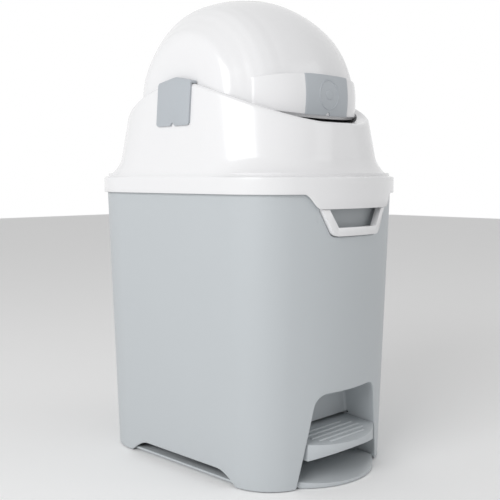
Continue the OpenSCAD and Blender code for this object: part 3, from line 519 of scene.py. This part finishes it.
BUCKET_FOOT, BUCKET_TOP = 0.8 * MM, 360 * MM
INSET_LOW, INSET_TOP = 16.5 * MM, 4.2 * MM
RECESS_W, RECESS_LEAN, RECESS_H, RECESS_R, RECESS_BACK = 77.6 * MM, math.radians(11.5), 112 * MM, 18 * MM, 118 * MM
ROOT_Z, ROOT_BACK = 60 * MM, 105.5 * MM
POCKET_W, POCKET_LOW, POCKET_SHOULDER, POCKET_Y = 60.8 * MM, 299.2 * MM, 332 * MM, 167 * MM
ARCH_H, ARCH_HALF, ARCH_RUN = 17 * MM, 101 * MM, 35 * MM
EDGE = 1.8 * MM
NOTCH_HALF, NOTCH_Z = 6.95 * MM, 341.5 * MM


def bucket_inset(z):
    return INSET_LOW + (INSET_TOP - INSET_LOW) * z / BUCKET_TOP


def bucket_u(x, z):
    """Distance along the plan outline of a point of the bowed front."""
    return BOW_R * math.asin(x / (BOW_R - bucket_inset(z)))


def evenly(points, n):
    """n + 1 points spread evenly along a line of points."""
    lengths = [0.0]
    for p, q in zip(points, points[1:]):
        lengths.append(lengths[-1] + math.dist(p, q))
    out, j = [], 0
    for i in range(n + 1):
        s = lengths[-1] * i / n
        while j < len(points) - 2 and lengths[j + 1] < s:
            j += 1
        span = lengths[j + 1] - lengths[j]
        out.append(mix(points[j], points[j + 1], 0 if span == 0 else min(1, (s - lengths[j]) / span)))
    return out


def half_arc(cx, cz, r, a0, a1, n):
    return [(cx + r * math.cos(math.radians(a0 + (a1 - a0) * i / n)),
        cz + r * math.sin(math.radians(a0 + (a1 - a0) * i / n)))
            for i in range(n + 1)]


def bucket_edges():
    """Lower and upper edge of the right half of the bucket's wall, as (u, z), with equal counts."""
    n, s = math.cos(RECESS_LEAN), math.sin(RECESS_LEAN)
    cz = RECESS_H - RECESS_R
    cx = (RECESS_W * n - RECESS_R - cz * s) / n
    lean = math.degrees(RECESS_LEAN)
    corner = half_arc(cx, cz, RECESS_R, 90, lean, 24)
    foot_z = BUCKET_FOOT + 3 * MM
    jamb = [corner[-1], (RECESS_W - foot_z * math.tan(RECESS_LEAN), foot_z)]
    toe = [jamb[-1], (RECESS_W + 0.3 * MM, BUCKET_FOOT + 0.9 * MM), (RECESS_W + 2.2 * MM, BUCKET_FOOT),
        (RECESS_W + 3 * MM, BUCKET_FOOT)]

    def to_u(line):
        return [(bucket_u(x, z), z) for x, z in line]

    seam = 130 * MM
    low = to_u(evenly([(0, RECESS_H), (cx, RECESS_H)], 14))[:-1] + to_u(evenly(corner, 12))[:-1]
    low += to_u(evenly(jamb, 36))[:-1] + to_u(evenly(toe, 5))[:-1]
    last = to_u(toe[-1:])[0]
    low += evenly([last, (seam, BUCKET_FOOT)], 18)[:-1]
    r, pz = 12.8 * MM, 312 * MM
    px = 34.98 * MM
    up_corner = half_arc(px, pz, r, -90, -29.36, 16)
    high = to_u(evenly([(0, POCKET_LOW), (px, POCKET_LOW)], 14))[:-1] + to_u(evenly(up_corner, 12))[:-1]
    side = [up_corner[-1], (POCKET_W - 1.0 * MM, POCKET_SHOULDER - 2.2 * MM),
        (POCKET_W, POCKET_SHOULDER + 1.5 * MM), (POCKET_W, BUCKET_TOP - 2 * MM)]
    high += to_u(evenly(side, 36))[:-1]
    turn = [side[-1], (POCKET_W + 0.6 * MM, BUCKET_TOP - 0.6 * MM), (POCKET_W + 2 * MM, BUCKET_TOP),
        (POCKET_W + 3 * MM, BUCKET_TOP)]
    high += to_u(evenly(turn, 5))[:-1]
    high += evenly([to_u(turn[-1:])[0], (seam, BUCKET_TOP)], 18)[:-1]
    # Side arch, then plainly round to the middle of the back
    us = [seam + (U_END - seam) * i / 112 for i in range(113)]
    notch = (HINGE_X - NOTCH_HALF, HINGE_X + NOTCH_HALF)
    us += [U_END - x + d for x in notch for d in (-0.9 * MM, -0.3 * MM, 0.3 * MM, 0.9 * MM)]
    for u in sorted(us):
        z = BUCKET_FOOT
        y = on_plan(u, INSET_LOW)[1]
        if u < U_SIDE and abs(y) < ARCH_HALF:
            t = min(1, (ARCH_HALF - abs(y)) / ARCH_RUN)
            z = max(z, ARCH_H * math.sin(math.pi / 2 * t))
        x = U_END - u
        inside = min(x - notch[0], notch[1] - x)
        low.append((u, z))
        high.append((u, BUCKET_TOP - (BUCKET_TOP - NOTCH_Z) * smooth((inside + 0.3 * MM) / (0.6 * MM))))
    return low, high, 14 + 12 + 36 + 5, 14 + 12 + 36 + 4


def side_normals(line, up):
    """Directions, in (u, z), that lead from an edge line into the wall."""
    out = []
    for i in range(len(line)):
        p, q = line[max(0, i - 1)], line[min(len(line) - 1, i + 1)]
        du, dz = q[0] - p[0], q[1] - p[1]
        size = math.hypot(du, dz)
        nu, nz = -dz / size, du / size
        out.append((nu, nz) if up else (-nu, -nz))
    return out


def make_bucket():
    low, high, n_recess, n_pocket = bucket_edges()
    count = len(low)
    low_full = [(-u, z) for u, z in reversed(low[1:])] + low
    high_full = [(-u, z) for u, z in reversed(high[1:])] + high
    low_n, high_n = side_normals(low_full, True), side_normals(high_full, False)
    low_full, high_full, low_n, high_n = low_full[1:], high_full[1:], low_n[1:], high_n[1:]
    mid = count - 2

    def at(u, z, depth, forward):
        """Point of the wall, sunk inwards: square to it, or straight back where forward is 1."""
        inset = bucket_inset(z)
        x, y = on_plan(u, inset)
        if depth == 0:
            return x, y, z
        nx, ny = on_plan(u, inset + depth)
        x1, y1 = mix((nx, ny), (x, y + depth), forward)
        return x1, y1, z

    def forward_low(i):
        return smooth((n_recess - abs(i - mid)) / 5)

    def forward_high(i):
        return smooth((n_pocket - abs(i - mid)) / 5)

    rows = []
    for k in range(5):
        t = math.pi / 2 * (1 - k / 4)
        rows.append([at(u + n[0] * EDGE * (1 - math.sin(t)), z + n[1] * EDGE * (1 - math.sin(t)),
            EDGE * (1 - math.cos(t)), forward_low(i))
                     for i, ((u, z), n) in enumerate(zip(low_full, low_n))])
    body_rows = 26
    start = [(u + n[0] * EDGE, z + n[1] * EDGE) for (u, z), n in zip(low_full, low_n)]
    stop = [(u + n[0] * EDGE, z + n[1] * EDGE) for (u, z), n in zip(high_full, high_n)]
    for k in range(1, body_rows):
        rows.append([at(*mix(p, q, k / body_rows), 0, 0) for p, q in zip(start, stop)])
    for k in range(5):
        t = math.pi / 2 * k / 4
        rows.append([at(u + n[0] * EDGE * (1 - math.sin(t)), z + n[1] * EDGE * (1 - math.sin(t)),
            EDGE * (1 - math.cos(t)), forward_high(i))
                     for i, ((u, z), n) in enumerate(zip(high_full, high_n))])
    cols = len(low_full)
    verts = [p for row in rows for p in row]
    faces = grid_faces(len(rows), cols, True, False)

    def tunnel(edge_row, first, last, keep_back, back_y, root_y, round_r, flip):
        """Walls that lead in from an opening's edge, and the flat wall behind them."""
        ids = [[edge_row * cols + i for i in range(first, last + 1)]]
        edge = [verts[i] for i in ids[0]]
        n = len(edge)
        lean = []
        for i in range(n):
            p, q = edge[max(0, i - 1)], edge[min(n - 1, i + 1)]
            dx, dz = q[0] - p[0], q[2] - p[2]
            size = math.hypot(dx, dz)
            lean.append((dz / size * flip, -dx / size * flip))
        deep = [keep_back(p) for p in edge]
        for k in range(1, 7):
            ids.append(list(range(len(verts), len(verts) + n)))
            verts.extend((p[0], p[1] + (back_y - round_r - p[1]) * k / 6, p[2]) for p in edge)
        for k in range(1, 5):
            t = math.pi / 2 * k / 4
            ids.append(list(range(len(verts), len(verts) + n)))
            for p, m, d in zip(edge, lean, deep):
                if d:
                    s = round_r * (1 - math.cos(t))
                    verts.append((p[0] + m[0] * s, back_y - round_r * (1 - math.sin(t)), p[2] + m[1] * s))
                else:
                    verts.append((p[0], back_y - round_r + (root_y - back_y + round_r) * k / 4, p[2]))
        for j in range(len(ids) - 1):
            for i in range(n - 1):
                if j < 6 or deep[i] == deep[i + 1]:
                    faces.append((ids[j][i], ids[j + 1][i], ids[j + 1][i + 1], ids[j][i + 1]))
        faces.append(tuple(v for v, d in zip(ids[-1], deep) if d))

    tunnel(0, mid - n_recess + 4, mid + n_recess - 4, lambda p: p[2] > ROOT_Z, -RECESS_BACK, -ROOT_BACK,
        4 * MM, 1)
    tunnel(len(rows) - 1, mid - n_pocket + 3, mid + n_pocket - 3, lambda p: True, -POCKET_Y, -POCKET_Y,
        2.5 * MM, -1)
    obj = new_object("bucket_shell", verts, faces, "bin", "grey_shell", 60)
    flat = max(obj.data.polygons, key=lambda p: p.center.x)
    if flat.normal.x < 0:
        obj.data.flip_normals()
    thick = obj.modifiers.new("wall", "SOLIDIFY")
    thick.thickness = 2.4 * MM
    thick.offset = -1
    applied(obj, 60)
    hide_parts("bucket", "pedal_recess", "hand_pocket")
    for s in (-1, 1):
        for e, x in enumerate((s * HINGE_X - 11.95 * MM, s * HINGE_X + 6.95 * MM)):
            r = 5 * MM
            outline = [(HINGE_Y + r * math.cos(math.radians(t)),
                HINGE_Z + r * math.sin(math.radians(t))) for t in range(-80, 181, 10)]
            outline += [(HINGE_Y - r, HINGE_Z - 10 * MM), (HINGE_Y - 0.5 * MM, HINGE_Z - 10 * MM)]
            v, f = prism(outline, 0, x, x + 5 * MM)
            name = "hinge_lug_%s_%d" % ("left" if s < 0 else "right", e + 1)
            bevelled(new_object(name, v, f, "bin", "grey_shell"), 0.5 * MM)
    return obj


make_bucket()

# ---------------------------------------------------------------- drum and handle


def round_axle(x, r, t):
    """Point at a distance x along the axle and a radius r, turned t up from the front."""
    return x, -r * math.cos(t), AXLE_Z + r * math.sin(t)


def make_drum():
    steps = 60
    ex = DRUM_HALF_L - 6 * MM
    er = dome(ex)
    slope = (dome(ex - 0.5 * MM) - dome(ex + 0.5 * MM)) / MM
    half = [(ex * i / steps, dome(ex * i / steps)) for i in range(steps + 1)]
    for i in range(1, 11):
        t = i / 10
        half.append((ex * (1 - t) ** 2 + 2 * DRUM_HALF_L * t * (1 - t) + DRUM_HALF_L * t * t,
                     er * (1 - t) ** 2 + 2 * (er - 6 * MM * slope) * t * (1 - t) + (er - 24 * MM) * t * t))
    half += [(DRUM_HALF_L, r * MM) for r in (50, 40, 30, 22, 17)]
    outer = [(-x, r) for x, r in reversed(half[1:])] + half
    w = DRUM_WALL / DRUM_HALF_L
    inner = [(x * (1 - w), max(r - DRUM_WALL, 17 * MM)) for x, r in outer]
    loop = outer + inner[::-1]
    turns = 112
    rows = []
    for j in range(turns + 1):
        t = -DRUM_EDGE + (math.pi + 2 * DRUM_EDGE) * j / turns
        rows.append([round_axle(x, r, t) for x, r in loop])
    n = len(loop)
    verts = [p for row in rows for p in row]
    faces = grid_faces(len(rows), n, True, False)
    last = len(rows) - 1
    m = len(outer)
    for base in (0, last * n):
        for i in range(m - 1):
            faces.append((base + i, base + i + 1, base + n - 2 - i, base + n - 1 - i))
    obj = new_object("drum_dome", verts, faces, "drum", "white_gloss", 40)
    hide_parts("drum_shell")
    for s in (-1, 1):
        # Disc around the stub axle, proud of the dome's end on both faces
        low, high = 8.1 * MM, 19 * MM
        x0, x1 = s * (DRUM_HALF_L - DRUM_WALL - 0.3 * MM), s * (DRUM_HALF_L + 0.1 * MM)
        loop = [(x0, low), (x0, high - 0.5 * MM), (x0 + s * 0.5 * MM, high), (x1 - s * 0.5 * MM, high),
            (x1, high - 0.5 * MM), (x1, low)]
        ring = [[round_axle(x, r, 2 * math.pi * j / 72) for x, r in loop] for j in range(72)]
        new_object("drum_hub_" + ("left" if s < 0 else "right"), [p for row in ring for p in row],
                   grid_faces(72, len(loop), True, True), "drum", "white_gloss")
    return obj


INSERT_W, INSERT_EDGE, NOTCH_R = 39.5 * MM, 0.5 * MM, 4 * MM


def band_shape():
    """The handle band: a strip that stands out from the dome and dies into it at its ends."""
    xs = [BAND_HALF * i / 70 for i in range(71)]
    groove = [INSERT_W - 0.1 * MM, INSERT_W + 0.15 * MM, INSERT_W + 0.4 * MM, INSERT_W + 0.9 * MM]
    xs = sorted([x for x in xs if abs(x - INSERT_W) > 1.2 * MM] + groove)
    xs = [-x for x in reversed(xs[1:])] + xs
    cols = []
    for x in xs:
        out, base = band(x), dome(x) - 1.0 * MM
        sink = 1.3 * MM * (1 - smooth((abs(x) - INSERT_W + 0.1 * MM) / (0.4 * MM)))
        proud = out - dome(x)
        r = min(1.6 * MM, max(0.15 * MM, proud * 0.45))
        out -= sink
        d = r / out
        col = [(base, -BAND_LOW), (out - r, -BAND_LOW)]
        for k in range(1, 6):
            t = math.pi / 2 * k / 5
            col.append((out - r + r * math.sin(t), -BAND_LOW + d * (1 - math.cos(t))))
        for k in range(1, 16):
            col.append((out, -BAND_LOW + d + (BAND_HIGH + BAND_LOW - 2 * d) * k / 16))
        for k in range(0, 6):
            t = math.pi / 2 * k / 5
            col.append((out - r + r * math.cos(t), BAND_HIGH - d * (1 - math.sin(t))))
        col.append((base, BAND_HIGH))
        cols.append([round_axle(x, rr, t) for rr, t in col])
    verts = [p for col in cols for p in col]
    n = len(cols[0])
    faces = grid_faces(len(cols), n, True, False)
    faces += [tuple(range(n)), tuple(range(len(verts) - 1, len(verts) - n - 1, -1))]
    obj = new_object("handle_band_shell", verts, faces, "drum", "white_gloss", 50)
    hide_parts("handle_band")


def insert_shape():
    """Grey plate in the middle of the band, with a small notch under it."""
    xs = [INSERT_W * i / 36 for i in range(37)] + [INSERT_W - 0.25 * MM, INSERT_W - 0.1 * MM]
    xs += [NOTCH_R * math.sin(math.pi / 2 * i / 10) for i in range(11)] + [NOTCH_R + 0.1 * MM,
        NOTCH_R + 0.6 * MM]
    xs = sorted(set(round(x, 6) for x in xs))
    xs = [-x for x in reversed(xs[1:])] + xs
    cols = []
    for x in xs:
        top = band(x) + 0.3 * MM
        back = band(x) - 2.2 * MM
        edge = INSERT_EDGE
        fall = max(0, abs(x) - (INSERT_W - edge))
        top -= edge - math.sqrt(max(0, edge * edge - fall * fall))
        low = -BAND_LOW + 0.15 * MM / top
        if abs(x) < NOTCH_R:
            low += math.sqrt(NOTCH_R ** 2 - x * x) / top
        high = BAND_HIGH - 0.15 * MM / top
        d = edge / top
        col = [(back, low)]
        for k in range(0, 5):
            t = math.pi / 2 * k / 4
            col.append((top - edge * (1 - math.sin(t)), low + d * (1 - math.cos(t))))
        for k in range(1, 20):
            col.append((top, low + d + (high - low - 2 * d) * k / 20))
        for k in range(0, 5):
            t = math.pi / 2 * k / 4
            col.append((top - edge * (1 - math.cos(t)), high - d * (1 - math.sin(t))))
        col.append((back, high))
        cols.append([round_axle(x, rr, t) for rr, t in col])
    verts = [p for col in cols for p in col]
    n = len(cols[0])
    faces = grid_faces(len(cols), n, True, False)
    faces += [tuple(range(n)), tuple(range(len(verts) - 1, len(verts) - n - 1, -1))]
    obj = new_object("handle_insert_plate", verts, faces, "drum", "grey_trim", 50)
    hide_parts("handle_insert")


def emblem_piece(name, profile):
    """A raised round shape on the insert, from a closed profile of (distance from its middle, height)."""
    mid = math.radians(1.3)
    rings = []
    turns = 96
    for j in range(turns):
        a = 2 * math.pi * j / turns
        ring = []
        for rho, h in profile:
            x, s = rho * math.cos(a), rho * math.sin(a)
            ring.append(round_axle(x, band(x) + 0.3 * MM + h, mid + s / BAND_R))
        rings.append(ring)
    verts = [p for ring in rings for p in ring]
    return new_object(name, verts, grid_faces(turns, len(profile), True, True), "drum", "grey_trim", 60)


def make_emblem():
    r, w, h = 18.4 * MM, 0.8 * MM, 0.7 * MM
    bead = [(r - w + w * math.cos(math.radians(t)),
        -0.4 * MM + (h + 0.4 * MM) * max(0, math.sin(math.radians(t))))
            for t in range(0, 181, 20)]
    emblem_piece("emblem_ring", bead)
    c = 6.1 * MM
    boss = [(0.02 * MM, -0.4 * MM), (c, -0.4 * MM), (c, 0.1 * MM), (c - 0.25 * MM, 0.45 * MM),
        (c - 0.7 * MM, 0.6 * MM),
            (c * 0.7, 0.66 * MM), (c * 0.4, 0.69 * MM), (0.02 * MM, 0.7 * MM)]
    emblem_piece("emblem_boss", boss)


make_drum()
band_shape()
insert_shape()
make_emblem()

for name, width in (("hinge_cap_left", 0.6), ("hinge_cap_right", 0.6), ("pedal", 0.9),
    ("bag_ring_grip", 1.2),
                    ("bag_ring", 0.4), ("base_tray", 0.5), ("bucket_floor", 0.5), ("rack_guide",
                        0.3), ("pushrod_duct", 0.3),
                    ("pushrod", 0.4), ("pedal_axle", 0.3), ("drum_end_left", 0.4), ("drum_end_right", 0.4)):
    round_off(frame["nodes"][name], width * MM)

# ---------------------------------------------------------------- stage, light and camera


def stage():
    """A pale, flat floor under the bin."""
    m = bpy.data.materials.new("stage_white")
    m.use_nodes = True
    nodes = m.node_tree.nodes
    nodes["Principled BSDF"].inputs["Base Color"].default_value = (0.985, 0.985, 0.985, 1)
    nodes["Principled BSDF"].inputs["Roughness"].default_value = 0.9
    mesh = bpy.data.meshes.new("floor")
    mesh.from_pydata([(-6, -6, 0), (6, -6, 0), (6, 6, 0), (-6, 6, 0)], [], [(0, 1, 2, 3)])
    floor = bpy.data.objects.new("floor", mesh)
    bpy.context.scene.collection.objects.link(floor)
    floor.data.materials.append(m)


def world(level):
    """Even light from all round; the camera and reflections see plain white."""
    w = bpy.data.worlds.new("studio")
    bpy.context.scene.world = w
    w.use_nodes = True
    nodes, links = w.node_tree.nodes, w.node_tree.links
    back = nodes["Background"]
    path = nodes.new("ShaderNodeLightPath")
    seen = nodes.new("ShaderNodeMath")
    seen.operation = "MAXIMUM"
    any_seen = nodes.new("ShaderNodeMath")
    any_seen.operation = "MAXIMUM"
    links.new(path.outputs["Is Camera Ray"], seen.inputs[0])
    links.new(path.outputs["Is Glossy Ray"], seen.inputs[1])
    links.new(seen.outputs[0], any_seen.inputs[0])
    links.new(path.outputs["Is Transmission Ray"], any_seen.inputs[1])
    level_node = nodes.new("ShaderNodeMapRange")
    level_node.inputs["To Min"].default_value = level
    level_node.inputs["To Max"].default_value = 1
    links.new(any_seen.outputs[0], level_node.inputs["Value"])
    links.new(level_node.outputs["Result"], back.inputs["Strength"])
    back.inputs["Color"].default_value = (1, 1, 1, 1)


def lamp(name, place, target, size, power):
    data = bpy.data.lights.new(name, "AREA")
    data.shape = "RECTANGLE"
    data.size, data.size_y = size
    data.energy = power
    obj = bpy.data.objects.new(name, data)
    bpy.context.scene.collection.objects.link(obj)
    obj.location = place
    obj.rotation_euler = (Vector(target) - Vector(place)).to_track_quat("-Z", "Y").to_euler()
    return obj


stage()
world(0.54)
lamp("key", (-2.3, -0.5, 1.3), (0, 0, 0.3), (1.6, 1.2), 31)
lamp("fill", (1.6, -2.2, 1.4), (0, 0, 0.3), (1.4, 1.4), 6)

CAMERA_TURN, CAMERA_DROP = 45.5, 5.03
camera = bpy.data.objects.new("camera", bpy.data.cameras.new("camera"))
bpy.context.scene.collection.objects.link(camera)
camera.data.sensor_width = 36
camera.data.lens = 59.76
camera.location = (-0.7934, -0.7834, 0.369)
camera.rotation_euler = (math.radians(90 - CAMERA_DROP), 0, -math.radians(CAMERA_TURN))
camera.data.clip_start = 0.01
bpy.context.scene.camera = camera
bpy.context.scene.view_settings.view_transform = "Standard"
